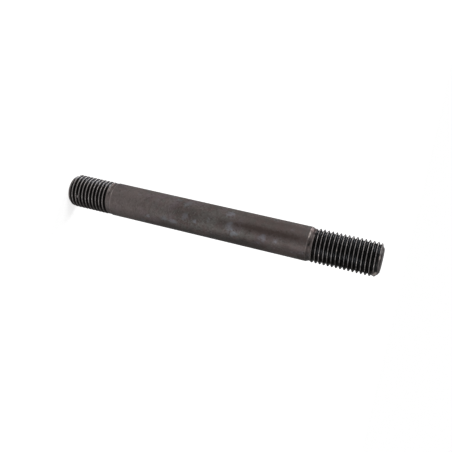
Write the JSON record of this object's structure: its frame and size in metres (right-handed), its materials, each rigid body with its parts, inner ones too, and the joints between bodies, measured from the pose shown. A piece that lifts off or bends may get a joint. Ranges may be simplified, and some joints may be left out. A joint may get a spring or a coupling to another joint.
{
  "type": "double ended stud",
  "caption": "Round steel stud with a plain shank, a short metal-end thread and a longer nut-end thread, each behind a turned neck and shoulder.",
  "frame": {"origin": "centre of the metal end's face, the flat end of the short thread", "axes": "+Z along the stud's axis, from the metal end to the nut end"},
  "size_m": [0.03, 0.03, 0.29],
  "materials": {
    "steel": "mottled brown-grey black oxide, dull, with bare crests on the threads"
  },
  "bodies": {
    "root": {"stud": "steel"}
  },
  "joints": []
}
